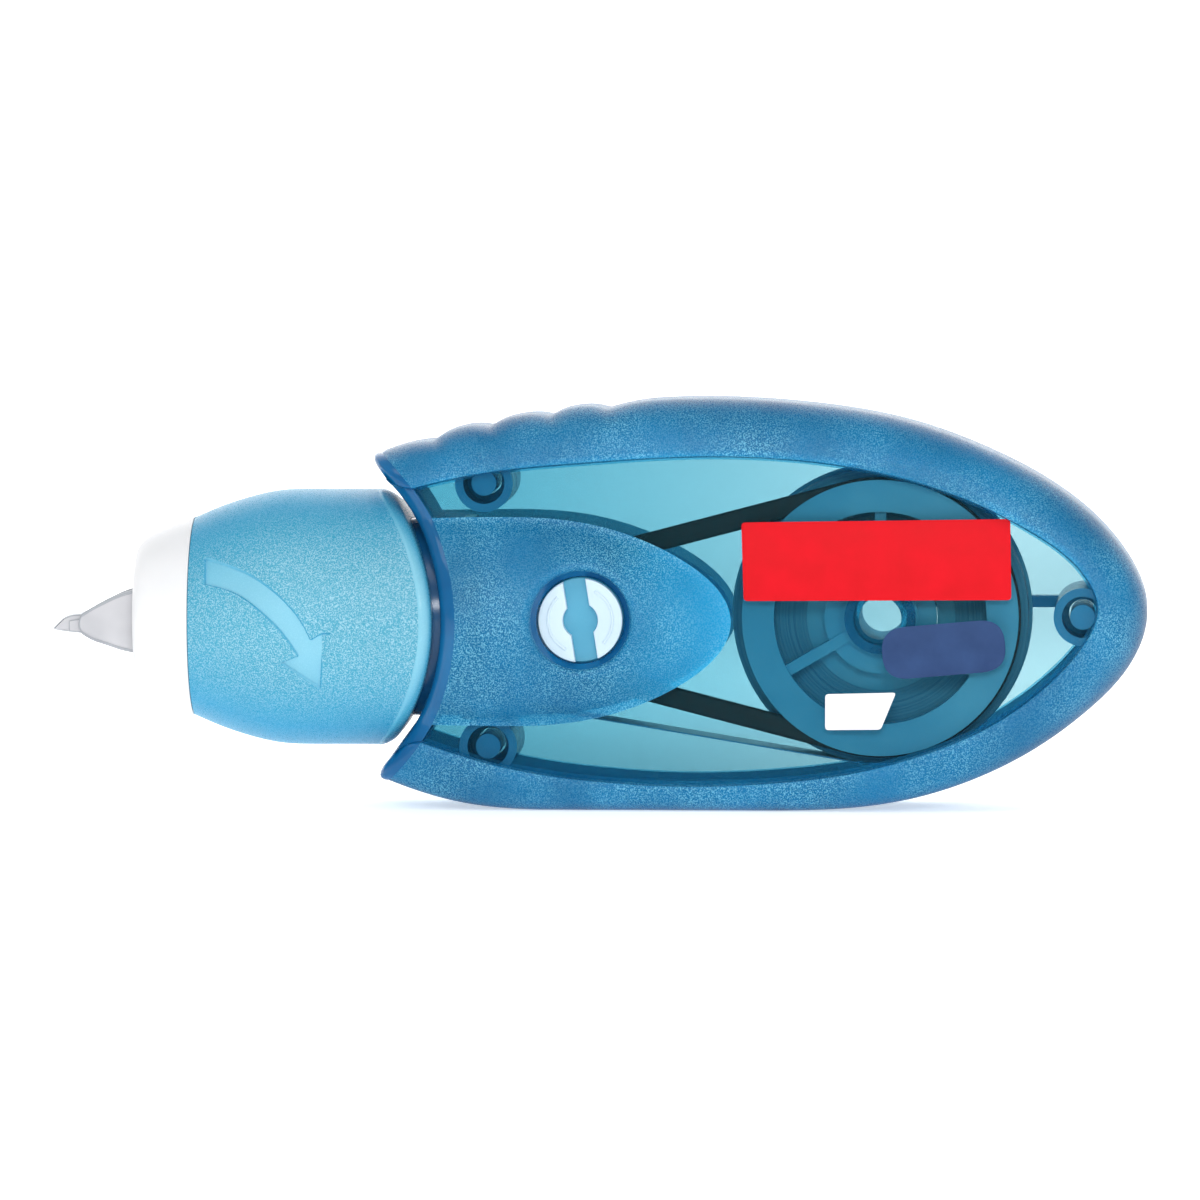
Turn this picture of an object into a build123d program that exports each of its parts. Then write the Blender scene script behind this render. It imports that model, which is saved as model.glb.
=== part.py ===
from build123d import *
import math
import os

# Correction tape roller, all dimensions in millimetres.
# X runs from the applicator tip (-X) to the tail (+X), Y through the thickness, Z up.
# The roller stands upright on the flat under edge of its case, which lies on Z = 0.

# --- common axis of neck, nose and twist cap -------------------------------------------------
axis_z = 16.05

# --- case ------------------------------------------------------------------------------------
case_half = 7.5              # half thickness at the rim crest
rim_round = 4.6              # rounding of the rim band
under_drop = 2.7             # how far the rounded block runs below the flat under edge
wall = 1.7                   # wall behind the rim
window_y = 6.8               # outer face of the polished windows
inner_y = 5.6                # inner face of the windows
tongue_wall = 1.4            # wall of the raised tongue
mouth_x = -30.2              # centre of the saddle arc of the case mouth
mouth_r = 17.2
mouth_wall = 1.4
flat_start = -5.0
flat_end = 15.0
tail_x = 46.58
tail_z = 16.9

# --- cap, nose and neck ----------------------------------------------------------------------
cap_r = 10.9
cap_front = -34.55
cap_saddle_r = 16.5
drum_r = 8.40                # cam drum of the neck
drum_front = -26.5
drum_back = -10.6
neck_flange_r = 9.25
neck_flange_front = -11.5
neck_flange_half = 8.55      # the flange is cut flat above and below
drum_bore = 6.9
nozzle_r = 5.90
nozzle_bore = 5.3
nozzle_front = -38.6
key_half = 0.5               # ribs that stop the nose from turning
key_rise = 0.35
run = 0.05                   # running clearance on a radius
twist_deg = 90.0
advance = 8.0
pin_x = -16.0                # cam pins of the cap when the tip is out
pin_r = 0.95
pin_length = 1.9
groove_floor = 7.55
groove_steps = 24
sleeve_back = -27.0
sleeve_lip = -38.75
arrow_depth = 0.25
blade_half = 2.55            # applicator blade, slightly wider than the tape
wing_thick = 0.6
stem_front = -38.2
stem_back = -34.5

# --- reels -----------------------------------------------------------------------------------
supply_x = 24.0
supply_z = 16.35
take_x = -1.2
take_z = 16.3
tape_half = 2.5              # half width of the 5 mm tape
pack_r = 12.5
spool_flange_r = 12.8
core_r = 6.3
core_bore = 4.8
flange_thick = 0.6
post_r = 2.27
post_bore = 1.8
hub_r = 3.2
groove_supply_r = 10.1
groove_take_r = 3.75
pulley_rim_r = 11.7
pulley_inner_r = 9.0
spoke_width = 0.95
spring_y0 = -1.4
spring_y1 = 2.2
take_rim_r = 7.2
take_rim_near_r = 5.2
take_core_r = 2.9
take_head_r = 3.6            # slotted head that shows in the crater
take_head_y = -9.1
slot_floor_y = -7.9
slot_tilt = 9.0
take_pack_r = 3.25
belt_thick = 1.75
belt_y0 = -4.65
belt_y1 = -3.35
flange_y0 = -5.3             # the pulleys' flanges stand either side of the belt
groove_y0 = -4.8
groove_y1 = -3.2
flange_y1 = -2.75
take_post_r = 1.5

# --- finger scallops on the top front edge ---------------------------------------------------
scallops = [(-14.1, 32.65), (-9.3, 33.9), (-4.1, 34.85), (0.7, 35.45)]
scallop_r = 1.4
scallop_half = 3.2

# --- bosses that hold the two shells together ------------------------------------------------
bosses = [(-9.55, 27.7), (-9.2, 5.4), (41.1, 16.5)]
boss_r = 2.45
boss_pin_r = 1.15
boss_pin_length = 3.0

# --- tape strands and print ------------------------------------------------------------------
tape_thick = 0.12
print_thick = 0.06

# XZ sketches are drawn on a plane whose local axes are global X and Z; its normal is -Y.
side = Plane(origin=(0, 0, 0), x_dir=(1, 0, 0), z_dir=(0, -1, 0))


def prism(face, y0, y1):
    """Extrude a side-view face between two Y positions."""
    low = min(y0, y1)
    high = max(y0, y1)
    solid = extrude(side * face, amount=high - low)
    return Pos(0, high, 0) * solid


def disc(x, z, radius, y0, y1):
    """Cylinder along Y."""
    return prism(Pos(x, z) * Circle(radius), y0, y1)


def ring(x, z, outer, inner, y0, y1):
    return prism(Pos(x, z) * (Circle(outer) - Circle(inner)), y0, y1)


def rod(radius, x0, x1):
    """Cylinder along X on the cap axis."""
    length = abs(x1 - x0)
    turned = Rot(0, 90, 0) * Cylinder(radius, length)
    return Pos((x0 + x1) / 2, 0, axis_z) * turned


def tube(outer, inner, x0, x1):
    return rod(outer, x0, x1) - rod(inner, x0 - 1, x1 + 1)


def spun(points):
    """Solid of revolution about the cap axis from (x, radius) points."""
    outline = Polyline(*[(x, 0, axis_z + r) for x, r in points], close=True)
    return revolve(make_face(outline), Axis((0, 0, axis_z), (1, 0, 0)), 360)


def slab(x0, x1, y0, y1, z0, z1):
    block = Box(x1 - x0, y1 - y0, z1 - z0)
    return Pos((x0 + x1) / 2, (y0 + y1) / 2, (z0 + z1) / 2) * block


# --- case outlines ---------------------------------------------------------------------------
crown = [(-16.1, 31.05), (-7.6, 33.2), (0.9, 34.4), (9.45, 34.83), (18.0, 34.35)]
crown += [(26.5, 32.87), (33.3, 30.4), (40.1, 26.55), (44.6, 22.0), (tail_x, tail_z)]
dropped = [(44.6, 11.6), (40.9, 7.3), (35.2, 2.9), (27.5, -0.6)]
dropped += [(18.0, -under_drop + 0.15), (8.0, -under_drop), (-5.0, -under_drop)]
dropped += [(-16.0, -under_drop + 1.4), (-24, -under_drop + 4.9)]
nose_end = [(-29.0, 9.0), (-29.5, 17.0), (-25.0, 26.0)]
under_back = [(flat_end, 0), (21.0, 0.2), (26.5, 1.0), (31.6, 2.55), (36.7, 4.8)]
under_back += [(42, 7.6), (52, 12)]
under_front = [(-32, 9.5), (-24, 5.2), (-16.1, 1.85), (-11.0, 0.5), (flat_start, 0)]


def block_face():
    """Outline whose under side is dropped, so that the rounding is small at the flat."""
    return make_face(Spline(*crown, *dropped, *nose_end, periodic=True))


def inset_face(amount, count=40):
    """The same outline moved inwards, drawn through evenly spaced points."""
    curve = Spline(*crown, *dropped, *nose_end, periodic=True)
    points = []
    for i in range(count):
        at = curve.position_at(i / count)
        along = curve.tangent_at(i / count)
        points.append((at.X + along.Y * amount, at.Y - along.X * amount))
    return make_face(Spline(*points, periodic=True))


def under_face():
    """Everything below the under edge of the case."""
    back = Spline(*under_back, tangents=[(1, 0), (1, 0.4)])
    ahead = Spline(*under_front, tangents=[(1, -0.6), (1, 0)])
    flat = Line((flat_start, 0), (flat_end, 0))
    right = Line(under_back[-1], (52, -8))
    bottom = Line((52, -8), (-32, -8))
    left = Line((-32, -8), under_front[0])
    return make_face([ahead, flat, back, right, bottom, left])


def cavity_face():
    """Inside outline of the case, one wall thickness in from the outside."""
    return inset_face(wall) - Pos(0, wall) * under_face()


def window_face():
    rim = [(-20, 26.3), (-10.1, 28.8), (-1.5, 29.75), (8.6, 30.35), (16.5, 30.1), (24.5, 28.9)]
    rim += [(31.5, 26.5), (37.5, 23.4), (41.3, 20.4), (42.65, 17.1), (41.5, 14.2), (38.3, 10.6)]
    rim += [(33.8, 7.3), (28.2, 4.8), (22.0, 3.1), (15.0, 2.2), (7.0, 1.9), (0.0, 2.3)]
    rim += [(-7.5, 3.4), (-13.5, 5.1), (-20, 7.4)]
    return make_face([Spline(*rim), Line(rim[-1], rim[0])])


def tongue(shrink, x_end):
    """Raised tongue that carries the cap's round shape back over the windows."""
    radii = [(-20, cap_r), (-13, cap_r - 0.03), (-7.5, 10.85), (-2.2, 10.55), (3.15, 9.55)]
    radii += [(7.15, 8.33), (9.6, 7.39), (x_end, 6.6)]
    shape = [(x, 0, axis_z + r - shrink) for x, r in radii]
    crest = Spline(*shape)
    down = Line(shape[-1], (x_end, 0, axis_z))
    base = Line((x_end, 0, axis_z), (-20, 0, axis_z))
    rise = Line((-20, 0, axis_z), shape[0])
    face = make_face([crest, down, base, rise])
    return revolve(face, Axis((0, 0, axis_z), (1, 0, 0)), 360)


def mouth(radius):
    return disc(mouth_x, axis_z, radius, -20, 20)


def case_solid():
    block = prism(block_face(), -case_half, case_half)
    rims = block.edges().filter_by(lambda e: abs(abs(e.center().Y) - case_half) < 1e-4)
    block = fillet(rims, rim_round)
    block -= prism(under_face(), -case_half - 1, case_half + 1)
    for sign in (-1, 1):
        block -= prism(window_face(), sign * window_y, sign * (window_y + 3))
    outside = block + tongue(0, 11.3)
    outside -= mouth(mouth_r)
    for x, z in scallops:
        outside -= disc(x, z, scallop_r, -scallop_half, scallop_half)
    inner = prism(cavity_face(), -inner_y, inner_y)
    inner += tongue(tongue_wall, 10.2)
    inner -= mouth(mouth_r + mouth_wall)
    hollow = outside - inner
    hollow -= rod(drum_r, -30, -8)
    return hollow


def near_shell():
    half = case_solid() & slab(-40, 60, -20, 0, -5, 50)
    for x, z in bosses:
        half += disc(x, z, boss_r, -inner_y - 0.3, 0)
        half += disc(x, z, boss_pin_r, -1, boss_pin_length)
    # round opening over the slotted head of the take-up spool, with a soft crater
    half -= disc(take_x, take_z, 4.1, -20, -6)
    crater = Pos(take_x, -10.75, take_z) * (Rot(90, 0, 0) * Cone(4.0, 5.4, 1.4))
    half -= crater
    # short collar that centres the end of the hollow reel axle
    half += ring(supply_x, supply_z, post_r + 0.75, post_r, -inner_y - 0.2, -inner_y + 0.25)
    return half


def far_shell():
    half = case_solid() & slab(-40, 60, 0, 20, -5, 50)
    for x, z in bosses:
        half += disc(x, z, boss_r, 0, inner_y + 0.3)
        half -= disc(x, z, boss_pin_r, -0.5, boss_pin_length + 0.2)
    # hollow axle of the supply reel
    half += disc(supply_x, supply_z, post_r, -inner_y, inner_y + 0.3)
    half += disc(supply_x, supply_z, hub_r + 0.3, 5.0, inner_y + 0.3)
    half -= disc(supply_x, supply_z, post_bore, -inner_y, inner_y)
    # post of the take-up spool, standing in the tongue
    half += disc(take_x, take_z, take_post_r, -6.0, 9.3)
    half += disc(take_x, take_z, take_post_r + 1.2, 4.2, 9.3)
    # stiffening web from the axle to the tail boss
    half += slab(supply_x + 3.2, 39.2, 4.1, inner_y + 0.2, 16.75, 17.75)
    return half


# --- neck: cam drum, nozzle and key ribs -----------------------------------------------------
def helix_cut(phase_deg):
    """Groove for one cam pin: a chain of short cutters along the quarter-turn path."""
    cut = None
    for i in range(groove_steps + 1):
        t = i / groove_steps
        x = pin_x - advance * t
        angle = math.radians(phase_deg - twist_deg * t)
        y = math.cos(angle)
        z = math.sin(angle)
        place = Plane(origin=(x, groove_floor * y, axis_z + groove_floor * z), z_dir=(0, y, z))
        piece = place * Pos(0, 0, 1.0) * Cylinder(pin_r + 0.1, 2.0)
        cut = piece if cut is None else cut + piece
    return cut


def neck():
    body = rod(drum_r, drum_front, drum_back)
    body += rod(nozzle_r, nozzle_front, drum_front + 0.5)
    flat_low = axis_z - neck_flange_half
    flat_high = axis_z + neck_flange_half
    flange = rod(neck_flange_r, neck_flange_front, drum_back)
    body += flange & slab(-12, -10, -10, 10, flat_low, flat_high)
    body -= rod(drum_bore, drum_front + 1.2, drum_back + 1)
    body -= rod(nozzle_bore, nozzle_front - 1, drum_front + 2)
    # channel for the fresh tape in the under side of the drum
    body -= slab(-18, -10, -2.7, 2.7, axis_z - 7.4, axis_z - 4)
    for sign in (-1, 1):
        z0 = axis_z + sign * (nozzle_r + run)
        low = z0 - key_rise
        high = z0 + key_rise
        body += slab(nozzle_front, drum_front + 0.5, -key_half, key_half, low, high)
    for phase in (0, 180):
        body -= helix_cut(phase)
    return body


# --- nose sleeve -----------------------------------------------------------------------------
def nose_sleeve():
    shape = [(-39.5, 4.75), (-39.5, 5.45), (-39.35, 5.95), (-38.95, 6.45), (-38.2, 6.95)]
    shape += [(-37.0, 7.50), (-35.8, 7.99), (-34.65, 8.43), (-34.65, 7.15), (-33.6, 7.15)]
    shape += [(-33.6, 7.9), (-32.4, 7.9), (-32.4, 6.6), (sleeve_back, 6.6)]
    shape += [(sleeve_back, nozzle_r + run), (sleeve_lip, nozzle_r + run), (sleeve_lip, 4.75)]
    body = spun(shape)
    for sign in (-1, 1):
        z0 = axis_z + sign * (nozzle_r + run)
        low = z0 - key_rise - 0.1
        high = z0 + key_rise + 0.1
        body -= slab(sleeve_lip, sleeve_back + 1, -key_half - run, key_half + run, low, high)
    return body


# --- twist cap -------------------------------------------------------------------------------
cap_profile = [(cap_front, 8.43), (-33.1, 9.07), (-31.4, 9.72), (-29.7, 10.24), (-28.0, 10.65)]
cap_profile += [(-26.3, cap_r - 0.04), (-25.0, cap_r), (-13.0, cap_r)]


def cap_outer(shrink):
    shape = [(x, 0, axis_z + r - shrink) for x, r in cap_profile]
    crest = Spline(*shape[:7], tangents=[(1, 0, 0.47), (1, 0, 0)])
    body = Line(shape[6], shape[7])
    down = Line(shape[7], (-13.0, 0, axis_z))
    base = Line((-13.0, 0, axis_z), (cap_front, 0, axis_z))
    rise = Line((cap_front, 0, axis_z), shape[0])
    face = make_face([crest, body, down, base, rise])
    return revolve(face, Axis((0, 0, axis_z), (1, 0, 0)), 360)


def arrow_face():
    """Curved direction arrow, tail at the upper left, head pointing down."""
    upper = [(-33.15, 21.5), (-29.0, 20.15), (-26.2, 18.15), (-24.4, 15.9), (-23.85, 14.75)]
    lower = [(-25.05, 13.3), (-26.2, 15.05), (-28.2, 17.05), (-30.4, 18.5), (-33.05, 19.2)]
    head = [(-22.65, 15.45), (-23.1, 10.35), (-26.5, 12.7)]
    edges = [Spline(*upper)]
    corners = [upper[-1]] + head + [lower[0]]
    for start, end in zip(corners, corners[1:]):
        edges.append(Line(start, end))
    edges.append(Spline(*lower))
    edges.append(Line(lower[-1], upper[0]))
    return make_face(edges)


def twist_cap():
    body = cap_outer(0) & disc(mouth_x, axis_z, cap_saddle_r, -20, 20)
    body -= rod(drum_r + run, -31.2, -5)
    body -= rod(6.7, -33, -30)
    body -= rod(8.0, -33.65, -32.35)
    body -= rod(7.2, -36, -33)
    body -= prism(arrow_face(), -15, -2) - cap_outer(arrow_depth)
    for sign in (-1, 1):
        stub = Rot(90, 0, 0) * Cylinder(pin_r, pin_length)
        middle = groove_floor + 0.1 + pin_length / 2
        body += Pos(pin_x, sign * middle, axis_z) * stub
    return body


# --- applicator tip --------------------------------------------------------------------------
def applicator_tip():
    """Blade the tape folds round, between two wings that widen into the round stem."""
    nib = [(-46.45, 15.1), (-45.55, 15.98), (-44.95, 16.22), (-44.1, 16.3), (-36.5, 16.7)]
    nib += [(-36.5, 14.5), (-43.7, 14.7), (-45.3, 14.85)]
    body = prism(make_face(Polyline(*nib, close=True)), -blade_half, blade_half)
    wing_top = [(-44.0, 16.38), (-43.3, 16.82), (-41.9, 17.55), (-40.8, 18.05), (-39.6, 18.4)]
    wing_under = [(-39.6, 13.06), (-40.8, 13.32), (-41.9, 13.7), (-43.1, 14.1), (-44.0, 14.62)]
    corners = [wing_top[-1], (-36.5, 18.7), (-36.5, 12.8), wing_under[0]]
    edges = [Spline(*wing_top), Spline(*wing_under), Line(wing_under[-1], wing_top[0])]
    for start, end in zip(corners, corners[1:]):
        edges.append(Line(start, end))
    wing = make_face(edges)
    for sign in (-1, 1):
        body += prism(wing, sign * blade_half, sign * (blade_half + wing_thick))
    stem = rod(nozzle_bore, stem_front, stem_back)
    # the two strands of tape run through slots above and below the blade's root
    slot = slab(stem_front - 1, stem_back + 1, -2.6, 2.6, 0, 3.25)
    stem -= Pos(0, 0, axis_z + 0.75) * slot
    stem -= Pos(0, 0, axis_z - 4.0) * slab(stem_front - 1, stem_back + 1, -2.6, 2.6, 0, 2.75)
    return body + stem


# --- supply side -----------------------------------------------------------------------------
def drive_pulley():
    body = ring(supply_x, supply_z, pulley_rim_r, pulley_inner_r, flange_y0, groove_y0 + run)
    body += ring(supply_x, supply_z, groove_supply_r, pulley_inner_r, groove_y0, groove_y1)
    body += ring(supply_x, supply_z, pulley_rim_r, pulley_inner_r, groove_y1 - run, flange_y1)
    body += ring(supply_x, supply_z, hub_r, post_r + run, -5.2, 4.3)
    body += ring(supply_x, supply_z, core_bore - run, hub_r - 0.1, -4.3, spring_y0 - 0.2)
    for turn in (90, 210, 330):
        spoke = Pos(6.0, 0) * Rectangle(6.2, spoke_width)
        spoke = Pos(supply_x, supply_z) * Rot(0, 0, turn) * spoke
        body += prism(spoke, -4.7, -2.9)
    return body


def clutch_spring():
    """Split ring keyed on the hub, three bent fingers bearing on the spool bore."""
    body = ring(supply_x, supply_z, hub_r + 0.55, hub_r, spring_y0, spring_y1)
    for turn in (30, 150, 270):
        arm = Pos(4.1, 0) * Rectangle(1.2, 0.5)
        arm = Pos(supply_x, supply_z) * Rot(0, 0, turn) * arm
        body += prism(arm, spring_y0, spring_y1)
        shoe = Circle(core_bore - run) - Circle(core_bore - 0.5)
        shoe = shoe & (Pos(5, 0) * Rectangle(3, 2.6))
        shoe = Pos(supply_x, supply_z) * Rot(0, 0, turn) * shoe
        body += prism(shoe, spring_y0, spring_y1)
    return body


def supply_spool():
    flange_y = tape_half + 0.1
    body = ring(supply_x, supply_z, core_r, core_bore, -flange_y, flange_y + flange_thick)
    body += ring(supply_x, supply_z, spool_flange_r, core_bore, flange_y, flange_y + flange_thick)
    return body


def reel_retainer():
    return ring(supply_x, supply_z, hub_r, post_r, 4.4, 4.95)


# --- take-up side ----------------------------------------------------------------------------
def take_up_spool():
    body = disc(take_x, take_z, take_head_r, take_head_y, flange_y0 + 0.2)
    body += disc(take_x, take_z, take_core_r, flange_y0 + 0.1, -flange_y1)
    body -= disc(take_x, take_z, take_post_r + run, -6.2, 4)
    slot = Rectangle(1.9, 6.4) + Circle(1.45)
    slot = slot & Circle(2.75)
    slot = Pos(take_x, take_z) * Rot(0, 0, slot_tilt) * slot
    body -= prism(slot, take_head_y - 0.1, slot_floor_y)
    edge = body.edges().filter_by(lambda e: abs(e.center().Y - take_head_y) < 1e-3)
    edge = edge.filter_by(lambda e: e.length > 20)
    return fillet(edge, 0.25)


def take_up_pulley():
    body = ring(take_x, take_z, take_rim_near_r, take_core_r, flange_y0 + 0.2, groove_y0 + run)
    body += ring(take_x, take_z, groove_take_r, take_core_r, groove_y0, groove_y1)
    body += ring(take_x, take_z, take_rim_r, take_core_r, groove_y1 - run, flange_y1)
    return body


def take_up_flange():
    return ring(take_x, take_z, take_rim_r, take_post_r + run, -flange_y1, -flange_y1 + 0.55)


def tape_ring(x, z, outer, inner):
    return ring(x, z, outer, inner, -tape_half, tape_half)


# --- drive belt ------------------------------------------------------------------------------
def loop_face(r_supply, r_take):
    """Flat shape enclosed by a belt line around both pulleys."""
    dx = supply_x - take_x
    dz = supply_z - take_z
    span = math.hypot(dx, dz)
    lean = math.atan2(dz, dx)
    spread = math.acos((r_supply - r_take) / span)
    points = []
    for cx, cz, r, sign in (
        (supply_x, supply_z, r_supply, 1),
        (take_x, take_z, r_take, 1),
        (take_x, take_z, r_take, -1),
        (supply_x, supply_z, r_supply, -1),
    ):
        angle = lean + math.pi - sign * spread
        points.append((cx + r * math.cos(angle), cz + r * math.sin(angle)))
    quad = make_face(Polyline(*points, close=True))
    ends = Pos(supply_x, supply_z) * Circle(r_supply)
    return quad + ends + Pos(take_x, take_z) * Circle(r_take)


def drive_belt():
    outer = loop_face(groove_supply_r + run + belt_thick, groove_take_r + run + belt_thick)
    inner = loop_face(groove_supply_r + run, groove_take_r + run)
    return prism(outer, belt_y0, belt_y1) - prism(inner, belt_y0 - 1, belt_y1 + 1)


# --- tape in transit -------------------------------------------------------------------------

def strand(p, q):
    """Flat 5 mm band between two points of the side view."""
    dx = q[0] - p[0]
    dz = q[1] - p[1]
    span = math.hypot(dx, dz)
    lean = math.degrees(math.atan2(dz, dx))
    middle = Pos((p[0] + q[0]) / 2, (p[1] + q[1]) / 2)
    band = middle * Rot(0, 0, lean) * Rectangle(span, tape_thick)
    return prism(band, -tape_half, tape_half)


def tangent_point(cx, cz, r, px, pz, side_sign):
    """Point where a line from (px, pz) touches a circle, on the chosen side."""
    dx = px - cx
    dz = pz - cz
    span = math.hypot(dx, dz)
    angle = math.atan2(dz, dx) + side_sign * math.acos(r / span)
    return (cx + r * math.cos(angle), cz + r * math.sin(angle))


def fresh_tape():
    nib = (-45.3, 14.68)
    start = tangent_point(supply_x, supply_z, pack_r + 0.15, nib[0], nib[1], 1)
    return strand(start, nib)


def return_tape():
    nib = (-45.1, 16.5)
    end = tangent_point(take_x, take_z, take_pack_r + 0.1, nib[0], nib[1], -1)
    return strand(nib, end)


# --- printed decoration on the near window ---------------------------------------------------

def printed(face):
    return prism(face, -window_y - print_thick, -window_y)


def red_panel():
    corners = [(12.3, 24.5), (35.0, 24.85), (35.1, 18.0), (12.5, 17.85)]
    return printed(make_face(Polyline(*corners, close=True)))


def blue_badge():
    plate = Pos(29.4, 13.8) * Rot(0, 0, 5) * RectangleRounded(10.4, 4.4, 2.1)
    return printed(plate)


def white_strip():
    corners = [(19.4, 10.0), (25.4, 10.15), (24.1, 7.0), (19.4, 6.95)]
    return printed(make_face(Polyline(*corners, close=True)))


parts = {
    "near_shell": near_shell,
    "far_shell": far_shell,
    "neck": neck,
    "applicator_tip": applicator_tip,
    "nose_sleeve": nose_sleeve,
    "twist_cap": twist_cap,
    "drive_pulley": drive_pulley,
    "clutch_spring": clutch_spring,
    "supply_spool": supply_spool,
    "supply_tape": lambda: tape_ring(supply_x, supply_z, pack_r, core_r),
    "reel_retainer": reel_retainer,
    "take_up_spool": take_up_spool,
    "take_up_pulley": take_up_pulley,
    "take_up_flange": take_up_flange,
    "take_up_tape": lambda: tape_ring(take_x, take_z, take_pack_r, take_core_r),
    "drive_belt": drive_belt,
    "fresh_tape": fresh_tape,
    "return_tape": return_tape,
    "red_panel": red_panel,
    "blue_badge": blue_badge,
    "white_strip": white_strip,
}

os.makedirs("parts", exist_ok=True)
for name, make in parts.items():
    made = make()
    solids = made.solids()
    print(name, len(solids), round(made.volume, 2), made.is_valid)
    shape = solids[0] if len(solids) == 1 else Compound(children=list(solids))
    export_step(shape, "parts/" + name + ".step")
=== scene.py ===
import math

import bpy
import numpy as np
import bmesh
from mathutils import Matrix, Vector
from mathutils.geometry import delaunay_2d_cdt


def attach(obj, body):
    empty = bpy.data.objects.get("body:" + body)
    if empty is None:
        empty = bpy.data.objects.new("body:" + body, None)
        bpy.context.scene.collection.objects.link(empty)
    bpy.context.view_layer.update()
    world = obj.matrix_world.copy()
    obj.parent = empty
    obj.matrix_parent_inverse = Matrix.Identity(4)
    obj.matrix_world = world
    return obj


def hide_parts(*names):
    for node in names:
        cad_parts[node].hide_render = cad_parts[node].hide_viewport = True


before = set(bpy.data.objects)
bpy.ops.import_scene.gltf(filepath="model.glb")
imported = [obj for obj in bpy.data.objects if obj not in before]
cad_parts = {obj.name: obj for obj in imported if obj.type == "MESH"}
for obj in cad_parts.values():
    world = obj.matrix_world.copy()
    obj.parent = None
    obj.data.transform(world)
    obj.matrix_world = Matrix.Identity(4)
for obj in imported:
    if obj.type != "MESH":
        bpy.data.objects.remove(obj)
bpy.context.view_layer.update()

# Correction tape roller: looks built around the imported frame. Shapes are worked out in
# millimetres and scaled to metres when a mesh is made.
MM = 0.001

# --- driving sizes, in millimetres -----------------------------------------------------------
axis_z = 16.05               # axis of neck, nose and cap
crest_y = 7.5                # rim crest, from the middle plane
window_y = 6.8               # outer face of the windows
inner_y = 5.6                # inner face of the windows
rim_wall = 1.7               # wall behind the rim
mouth_x = -30.2              # the case mouth is an arc about this point
mouth_r = 17.2
mouth_wall = 1.4
mouth_round = 1.3            # rounding of the edges of the case mouth
tongue_wall = 1.4            # wall of the raised tongue
drum_r = 8.4                 # cam drum of the neck, where it passes through the case
take_x, take_z = -1.2, 16.3              # axis of the take-up spool
supply_x, supply_z = 24.0, 16.35         # axis of the supply spool
bosses = [(-9.55, 27.7), (-9.2, 5.4), (41.1, 16.5)]
opening_r = 4.15             # take-up opening of the near shell
throat_r = 3.7               # the same on the inner face
crater_r = 5.1               # soft dish round the take-up opening
crater_depth = 0.9
pole_r = 0.05                # the far shell has no opening, only a closed point there

crown = [(-24, 27.7), (-16.1, 31.05), (-7.6, 33.2), (0.9, 34.4), (9.45, 34.83), (18.0, 34.35)]
crown += [(26.5, 32.87), (33.3, 30.4), (40.1, 26.55), (44.6, 22.0), (46.58, 16.9)]
under = [(44.9, 12.0), (41.6, 8.5), (36.7, 5.0), (31.6, 2.55), (26.5, 1.0), (21.0, 0.2)]
under += [(15.0, 0.0), (8.0, 0.0), (1.0, 0.0), (-5.0, 0.0), (-11.0, 0.5), (-16.1, 1.85), (-24, 5.2)]
rim_edge = [(-20, 26.3), (-10.1, 28.8), (-1.5, 29.75), (8.6, 30.35), (16.5, 30.1), (24.5, 28.9)]
rim_edge += [(31.5, 26.7), (37.5, 23.65), (41.3, 20.5), (42.65, 17.1), (41.5, 14.2), (38.3, 10.6)]
rim_edge += [(33.8, 7.3), (28.2, 4.8), (22.0, 3.1), (15.0, 2.2), (7.0, 1.9), (0.0, 2.3)]
rim_edge += [(-7.5, 3.4), (-13.5, 5.1), (-20, 7.4)]

cap_r = 10.9
cap_saddle_r = 16.5          # arc of the cap's rear face
cap_line = [(-34.55, 8.43), (-33.1, 9.07), (-31.4, 9.72), (-29.7, 10.24), (-28.0, 10.65)]
cap_line += [(-26.3, 10.86), (-25.0, 10.9), (-21.0, 10.9)]
cap_front = -34.55
cap_band = 1.0               # smooth rounded band at the rear edge of the cap
pin_x = -16.0                # cam pins inside the cap
arrow_depth = 0.25
arrow_slope = 0.13           # width of the arrow's sloping edge
arrow_upper = [(-33.15, 21.5), (-29.0, 20.15), (-26.2, 18.15), (-24.4, 15.9), (-23.85, 14.75)]
arrow_head = [(-22.65, 15.45), (-23.1, 10.35), (-26.5, 12.7)]
arrow_lower = [(-25.05, 13.3), (-26.2, 15.05), (-28.2, 17.05), (-30.4, 18.5), (-33.05, 19.2)]
tape_half = 2.5              # half width of the tape
belt_thick = 1.75
belt_half = 0.65
belt_y = -4.0
head_r = 3.55                # head of the take-up spool, split by the coin slot
head_bore = 1.48
slot_half = 0.95


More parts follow.
